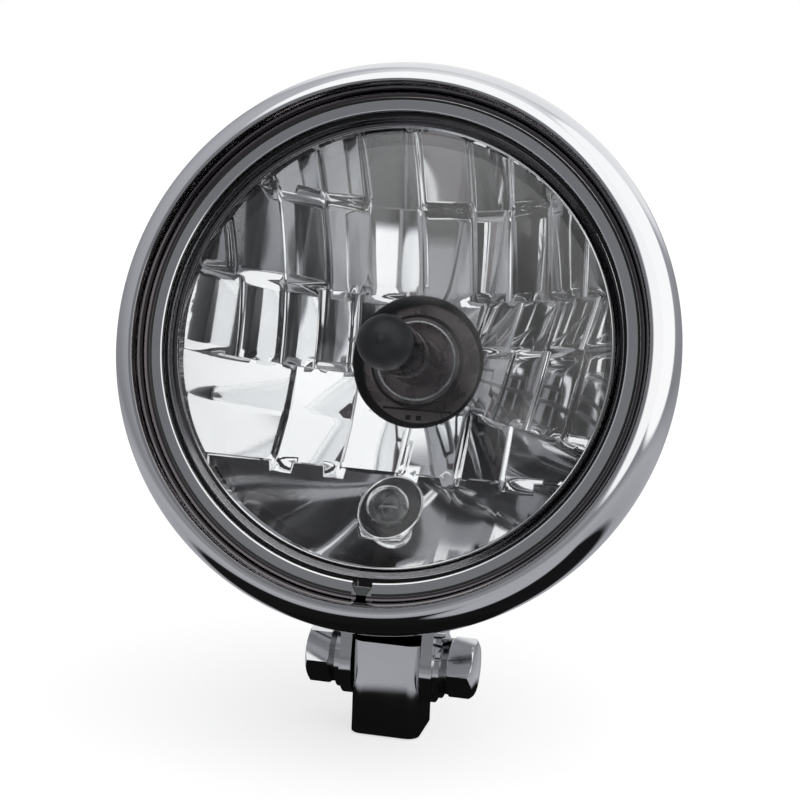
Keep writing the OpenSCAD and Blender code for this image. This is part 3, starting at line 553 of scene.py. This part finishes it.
cap_in = bulb_glass_r + 0.02
cap_out = cap_in + cap_t
pip_r = 1.75
pip = (shifted(0, cap_y - cap_out, [(0.0, -0.9), (0.5, -0.84), (0.95, -0.55), (1.25, -0.1)])
       + [(pip_r, cap_y - math.sqrt(cap_out ** 2 - pip_r ** 2))])
cap_shell = [(cap_out * math.sin(a), cap_y - cap_out * math.cos(a))
             for a in np.radians(np.linspace(14, 90, 24))]
cap_edge = [(cap_out, cap_y + 2.0), (cap_out - 0.1, cap_y + 2.2), (cap_in, cap_y + 2.2)]
lathe_piece("bulb_black_cap", pip + cap_shell + cap_edge + ball(cap_y, cap_in, 0, -90, 20), 128, black_cap,
            "bulb_cap", 40)

side_dome_r = 6.9
side_dome_y = side_bulb_tip + side_dome_r
side_inner_r, side_neck_y, side_end_y = side_bulb_r - side_bulb_t, 37.5, 41.0
lathe_piece("side_bulb_glass", ball(side_dome_y, side_dome_r, -90, 25, 24)
            + [(side_bulb_r, side_neck_y), (side_bulb_r, side_end_y)]
            + [(side_inner_r, side_end_y), (side_inner_r, side_neck_y - 0.2)]
            + ball(side_dome_y, side_dome_r - side_bulb_t, 25, -90, 24), 96, bulb_clear,
            "side_bulb", 30, z=-side_drop)


# Rolled rim where the side light's hole meets the bowl
def hole_rim(rim_at=side_hole_r + 0.15, bead_r=0.42, turns=120, sides=12):
    verts, faces = [], []
    for k in range(turns):
        a = 2 * math.pi * k / turns
        x, z = rim_at * math.sin(a), -side_drop + rim_at * math.cos(a)
        y = bowl_y(x, z) - 0.02
        k2 = (k + 1) % turns
        for j in range(sides):
            b = 2 * math.pi * j / sides
            out = bead_r * math.cos(b)
            verts.append((x + out * math.sin(a), y + bead_r * math.sin(b), z + out * math.cos(a)))
            j2 = (j + 1) % sides
            faces.append((k * sides + j, k * sides + j2, k2 * sides + j2, k2 * sides + j))
    return verts, faces


finish_piece(build_mesh("side_hole_rim", *hole_rim()), "lamp", mirror_coat, None, 60)

# Details on the front of the main bulb's base: a dark seal, three dark marks and a rolled edge
seal_ring_r, rolled_edge_r, rolled_t = 14.8, 12.7, 0.38
lathe_piece("base_seal_ring", arc(seal_ring_r, cup_front + 1.3, 0.55, 0.9, 0, 345, 23), 120, rubber,
            None, 60)
for name, x0, x1, z0, z1 in (("flange_step", -11.5, 11.5, -15.5, -14.8),
                             ("flange_window_left", -3.6, -1.9, -18.6, -17.0),
                             ("flange_window_right", -0.1, 1.6, -18.6, -17.0)):
    mark = box(name, (x0, bulb_seat_y - 0.2, z0), (x1, bulb_seat_y + 0.05, z1))
    finish_piece(mark, "lamp", rubber, None, 30)
lathe_piece("base_rolled_edge", arc(rolled_edge_r, cup_front - 0.1, rolled_t, rolled_t, 0, 345, 23), 120,
            spring_steel, None, 60)

# Bolts: hexagon heads with a chamfered end, on their shanks
head_end = head_in + head_h
corner_r = head_af / 2 / math.cos(math.radians(30))
hexagon = [(corner_r * math.sin(math.radians(90 + 60 * k)), corner_r * math.cos(math.radians(90 + 60 * k)))
           for k in range(6)]
seat_r, outer_r, slant_r, face_r = 9.2, corner_r + 0.2, 8.5, 8.0
shank_r, shank_end, shank_cut = 5, head_in - 18, 0.5
chamfer = [(0, head_in - 1), (seat_r, head_in), (outer_r, head_in + 0.5), (outer_r, head_end - 1.5),
           (slant_r, head_end - 0.5), (face_r, head_end - 0.25), (0, head_end)]
shank = [(0, shank_end), (shank_r - shank_cut, shank_end), (shank_r, shank_end + shank_cut),
         (shank_r, head_in + 0.5), (0, head_in + 0.5)]


# A mesh along the y axis, laid along x at the bolts' height
def lay_across(name, mesh, side):
    verts, faces = mesh
    place = Matrix.Translation((0, 0, bolt_z))
    return build_mesh(name, [(side * y, x, z) for x, y, z in verts], faces, place)


for side, replaced in ((-1, "bolt_left"), (1, "bolt_right")):
    bolt = lay_across("hex_" + replaced, prism_mesh(hexagon, head_in, head_end), side)
    carve(bolt, [lay_across("cutter", lathe_mesh(chamfer, 96, closed=False), side)], "INTERSECT")
    bm = bmesh.new()
    bm.from_mesh(bolt.data)
    edges = [e for e in bm.edges if len(e.link_faces) == 2 and e.calc_face_angle(0) > math.radians(25)]
    bmesh.ops.bevel(bm, geom=edges, offset=0.16 * MM, segments=2, affect="EDGES", clamp_overlap=True)
    bm.to_mesh(bolt.data)
    bm.free()
    carve(bolt, [lay_across("cutter", lathe_mesh(shank, 64, closed=False), side)], "UNION")
    finish_piece(bolt, "mount", chrome_bolt, replaced, 40)


# Shell: the bowl-shaped housing as a fine turned sheet
def bucket_line(inset, n=72):
    e = 2 / bucket_power
    angles = [math.radians(90 * i / n) for i in range(n + 1)]
    return [(max(0.0, (bucket_r - inset) * math.cos(a) ** e),
             bucket_shoulder + (bucket_round - inset) * math.sin(a) ** e) for a in angles]


def bucket_at(y):
    return bucket_r * (1 - ((y - bucket_shoulder) / bucket_round) ** bucket_power) ** (1 / bucket_power)


front_cut = 0.15
shell_front = [(bucket_r - bucket_t, bucket_front), (bucket_r - front_cut, bucket_front),
               (bucket_r, bucket_front + front_cut)]
shell = turned("chrome_housing", shell_front + bucket_line(0) + bucket_line(bucket_t)[::-1], 240)
slope = bucket_at(grommet_y + 0.5) - bucket_at(grommet_y - 0.5)
outward = Vector((0, -slope, -1)).normalized()
hole_turn = Vector((0, 1, 0)).rotation_difference(outward).to_matrix().to_4x4()
hole_place = LAMP @ Matrix.Translation((0, grommet_y, -bucket_at(grommet_y))) @ hole_turn
hole_profile = [(0, -10), (grommet_hole_r, -10), (grommet_hole_r, 10), (0, 10)]
carve(shell, [build_mesh("cutter", *lathe_mesh(hole_profile, 96, closed=False), hole_place),
              screw_cutter(-90, -80)])
finish_piece(shell, "lamp", chrome_shell, "bucket", 35)

# The solids that are kept as they are
materials = {
    "lens_seal": rubber, "clip_1": spring_steel, "clip_2": spring_steel, "clip_3": spring_steel,
    "clip_4": spring_steel, "bulb_base": bulb_metal, "bulb_filaments": tungsten, "bulb_shield": bulb_metal,
    "bulb_contacts": tinned, "bulb_bail": spring_steel, "rubber_boot": rubber, "plug": plug_plastic,
    "side_filament": tungsten, "side_holder": holder_plastic, "ring_screw": zinc, "ring_nut": zinc,
    "cable_grommet": rubber, "bracket": chrome_shell, "mount_block": chrome_block,
    "spring_washer_left": washer_steel, "spring_washer_right": washer_steel,
    "flat_washer_left": chrome_bolt, "flat_washer_right": chrome_bolt}
for name, material in materials.items():
    paint(nodes[name], material)

# Camera, in front of the lamp and a little towards plus x
cam_right = Vector((0.97067, 0.23736, 0.03829))
cam_down = Vector((0.08176, -0.17610, -0.98097))
cam_ahead = Vector((-0.22610, 0.95533, -0.19034))
cam_place = Vector((126.7, -540.3, 215.0))
cam_data = bpy.data.cameras.new("camera")
cam_data.sensor_fit = "HORIZONTAL"
cam_data.sensor_width = 36.0
cam_data.lens = 81.0
cam_data.clip_start = 0.01
cam_data.clip_end = 50.0
cam = bpy.data.objects.new("camera", cam_data)
cam.matrix_world = (Matrix.Translation(cam_place * MM)
                    @ Matrix((cam_right, -cam_down, -cam_ahead)).transposed().to_4x4())
bpy.context.scene.collection.objects.link(cam)
bpy.context.scene.camera = cam

# The floor is pale to the camera and keeps a soft shadow. Metal and glass see the studio through
# it, apart from a painted dark reflection, a dark patch round the foot of the block.
floor_half, floor_z, floor_glow = 6.0, -0.0004, 0.62
reflected_shade_in, reflected_shade_out, reflected_shade_level = 0.052, 0.060, 0.006
floor_mat, tree, bsdf = new_material("pale_floor")
bsdf.inputs["Base Color"].default_value = (0.55, 0.55, 0.55, 1)
bsdf.inputs["Specular IOR Level"].default_value = 0.0
link(tree, spread(tree, noise(tree, 9.0, 3.0), 0.3, 0.7, 0.75, 0.85), bsdf.inputs["Roughness"])
path = add(tree, "ShaderNodeLightPath")
glow = add(tree, "ShaderNodeEmission")
glow.inputs["Color"].default_value = (1, 1, 1, 1)
link(tree, spread(tree, path.outputs["Is Camera Ray"], 0, 1, 0, floor_glow), glow.inputs["Strength"])
lit = add(tree, "ShaderNodeAddShader")
link(tree, bsdf.outputs["BSDF"], lit.inputs[0])
link(tree, glow.outputs["Emission"], lit.inputs[1])
clear = add(tree, "ShaderNodeBsdfTransparent")
# Painted dark reflection: a near-black glow on the floor round the block, which only metal and glass see
reflected_shade = add(tree, "ShaderNodeEmission")
reflected_shade.inputs["Color"].default_value = (reflected_shade_level, reflected_shade_level, reflected_shade_level, 1)
geometry = add(tree, "ShaderNodeNewGeometry")
reach = vector_math(tree, "LENGTH", geometry.outputs["Position"])
near = add(tree, "ShaderNodeMixShader")
link(tree, spread(tree, reach, reflected_shade_in, reflected_shade_out, 1, 0), near.inputs[0])
link(tree, clear.outputs["BSDF"], near.inputs[1])
link(tree, reflected_shade.outputs["Emission"], near.inputs[2])
bounced = scalar_math(tree, "MAXIMUM", path.outputs["Is Glossy Ray"], path.outputs["Is Transmission Ray"])
choose = add(tree, "ShaderNodeMixShader")
link(tree, bounced, choose.inputs[0])
link(tree, lit.outputs["Shader"], choose.inputs[1])
link(tree, near.outputs["Shader"], choose.inputs[2])
link(tree, choose.outputs["Shader"], tree.nodes["Material Output"].inputs["Surface"])
me = bpy.data.meshes.new("floor")
corners = ((-1, -1), (1, -1), (1, 1), (-1, 1))
me.from_pydata([(x * floor_half, y * floor_half, floor_z) for x, y in corners], [], [(0, 1, 2, 3)])
floor = bpy.data.objects.new("floor", me)
bpy.context.scene.collection.objects.link(floor)
floor.data.materials.append(floor_mat)

world = bpy.data.worlds.new("studio")
bpy.context.scene.world = world
world.use_nodes = True
wt = world.node_tree
wt.nodes.clear()
look = add(wt, "ShaderNodeTexCoord").outputs["Generated"]


# Adds soft round zones to the light: azimuth from the front, elevation, inner and outer angle, level
def with_zones(light, zones):
    for azimuth, elevation, inner, outer, value in zones:
        a, e = math.radians(azimuth), math.radians(elevation)
        middle = (math.sin(a) * math.cos(e), -math.cos(a) * math.cos(e), math.sin(e))
        fade = add(wt, "ShaderNodeMapRange", interpolation_type="SMOOTHSTEP")
        fade.inputs["From Min"].default_value = math.cos(math.radians(outer))
        fade.inputs["From Max"].default_value = math.cos(math.radians(inner))
        link(wt, vector_math(wt, "DOT_PRODUCT", look, middle), fade.inputs["Value"])
        light = blend(wt, "FLOAT", light, value, fade.outputs["Result"])
    return light


# Studio walls by height: dark below, a light skirting, a grey wall and a pale top
split = add(wt, "ShaderNodeSeparateXYZ")
link(wt, look, split.inputs["Vector"])
ramp = add(wt, "ShaderNodeValToRGB")
stops = [(-1.0, 0.008), (-0.66, 0.010), (-0.60, 0.40), (-0.35, 0.46), (-0.15, 0.27), (0.0, 0.30),
         (0.3, 0.40), (0.6, 0.48), (0.85, 0.55), (1.0, 0.9)]
while len(ramp.color_ramp.elements) < len(stops):
    ramp.color_ramp.elements.new(0.5)
for e, (z, value) in zip(ramp.color_ramp.elements, stops):
    e.position = (z + 1) / 2
    e.color = (value, value, value, 1)
link(wt, spread(wt, split.outputs["Z"], -1, 1, 0, 1), ramp.inputs["Fac"])
wall = add(wt, "ShaderNodeRGBToBW")
link(wt, ramp.outputs["Color"], wall.inputs["Color"])

# Soft boxes at the right, above the front and behind, and a dim one low at the right
level = with_zones(wall.outputs["Val"], [(92, 30, 40, 46, 1.15), (-8, 60, 24, 30, 1.15),
                                         (178, 34, 26, 36, 0.9), (38, -48, 18, 24, 0.45)])
# What chrome sees: a bright box at the front right, and a dim front
bare = with_zones(level, [(40, 24, 26, 32, 1.1), (-14, 18, 14, 22, 0.20)])
# What is seen through the glass: a dark front with small bright and dark panels, in more contrast
through = with_zones(level, [(3, 12, 20, 27, 0.025), (-30, 8, 8, 11, 1.1), (30, -4, 8, 11, 1.0),
                             (-56, 0, 10, 14, 0.03), (52, -28, 9, 13, 0.03), (0, -34, 8, 12, 1.1)])
path = add(wt, "ShaderNodeLightPath")
seen = blend(wt, "FLOAT", bare, scalar_math(wt, "POWER", through, 1.5), path.outputs["Is Transmission Ray"])
show = blend(wt, "FLOAT", seen, 1.0, path.outputs["Is Camera Ray"])
# The grey parts are a little cool
cast = blend(wt, "RGBA", (0.93, 0.94, 1.0, 1), (1, 1, 1, 1), spread(wt, show, 0.45, 1.0, 0, 1))
bg = add(wt, "ShaderNodeBackground")
link(wt, cast, bg.inputs["Color"])
link(wt, show, bg.inputs["Strength"])
out = add(wt, "ShaderNodeOutputWorld")
link(wt, bg.outputs["Background"], out.inputs["Surface"])

view = bpy.context.scene.view_settings
view.view_transform = "Standard"
